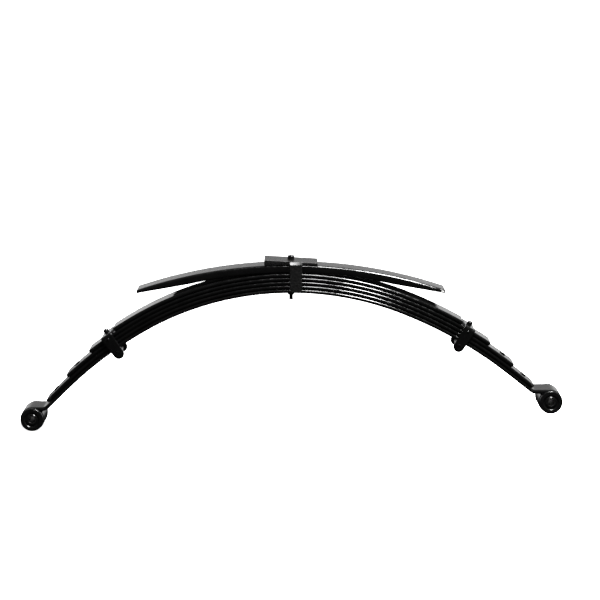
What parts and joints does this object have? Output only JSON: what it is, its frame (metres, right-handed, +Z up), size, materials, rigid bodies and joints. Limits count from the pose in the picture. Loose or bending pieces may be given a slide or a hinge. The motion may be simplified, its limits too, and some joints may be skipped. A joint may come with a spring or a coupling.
{
  "type": "leaf spring",
  "caption": "Two-stage semi-elliptic leaf spring: graded arched leaves under a thick overload leaf, taper shim, centre bolt, rebound clips and bushed eyes.",
  "frame": {"origin": "foot of the centre bolt's head, where it sits on the taper shim and locates the spring on the axle seat", "axes": "+Z up along the centre bolt, out of the shim; +X along the spring towards the shim's thin end; +Y across the leaves, away from the label"},
  "size_m": [1.2616, 0.09, 0.4105],
  "materials": {
    "spring_steel": "gloss black paint on spring steel",
    "overload_steel": "gloss black paint on rolled and tapered spring steel",
    "shim_steel": "semi-gloss black paint",
    "bolt_steel": "black paint over steel",
    "clip_steel": "gloss black paint",
    "sleeve_steel": "dark zinc plate",
    "bush_plastic": "moulded black polyurethane",
    "plug_plastic": "moulded black nylon",
    "label_film": "matt dark film, blank"
  },
  "bodies": {
    "spring_pack": {"main_leaf": "spring_steel", "second_leaf": "spring_steel", "third_leaf": "spring_steel", "fourth_leaf": "spring_steel", "fifth_leaf": "spring_steel", "overload_leaf": "overload_steel", "taper_shim": "shim_steel", "centre_bolt": "bolt_steel", "centre_nut": "bolt_steel", "side_label": "label_film"},
    "left_end": {"left_clip_strap": "clip_steel", "left_clip_rivet": "clip_steel", "left_clip_bolt": "clip_steel", "left_clip_spacer": "clip_steel", "left_clip_nut": "clip_steel", "second_leaf_left_plug": "plug_plastic", "third_leaf_left_plug": "plug_plastic", "left_near_bush": "bush_plastic", "left_far_bush": "bush_plastic"},
    "right_end": {"right_clip_strap": "clip_steel", "right_clip_rivet": "clip_steel", "right_clip_bolt": "clip_steel", "right_clip_spacer": "clip_steel", "right_clip_nut": "clip_steel", "second_leaf_right_plug": "plug_plastic", "third_leaf_right_plug": "plug_plastic", "right_near_bush": "bush_plastic", "right_far_bush": "bush_plastic"},
    "left_bracket_sleeve": {"left_sleeve": "sleeve_steel"},
    "right_bracket_sleeve": {"right_sleeve": "sleeve_steel"}
  },
  "joints": [
    {"name": "left_flex", "type": "hinge", "parent": "spring_pack", "child": "left_end", "pos_m": [-0.20797, 0, -0.10184], "axis": [0, 1, 0], "range_deg": [-2, 10], "stiffness_Nm_per_rad": 4200, "deforming": ["main_leaf", "second_leaf", "third_leaf", "fourth_leaf", "fifth_leaf"]},
    {"name": "right_flex", "type": "hinge", "parent": "spring_pack", "child": "right_end", "pos_m": [0.20809, 0, -0.10111], "axis": [0, -1, 0], "range_deg": [-2, 10], "stiffness_Nm_per_rad": 4200, "deforming": ["main_leaf", "second_leaf", "third_leaf", "fourth_leaf", "fifth_leaf"]},
    {"name": "left_sleeve_turn", "type": "hinge", "parent": "left_end", "child": "left_bracket_sleeve", "pos_m": [-0.60276, 0, -0.37274], "axis": [0, 1, 0], "continuous": true},
    {"name": "right_sleeve_turn", "type": "hinge", "parent": "right_end", "child": "right_bracket_sleeve", "pos_m": [0.60276, 0, -0.33112], "axis": [0, 1, 0], "continuous": true}
  ]
}
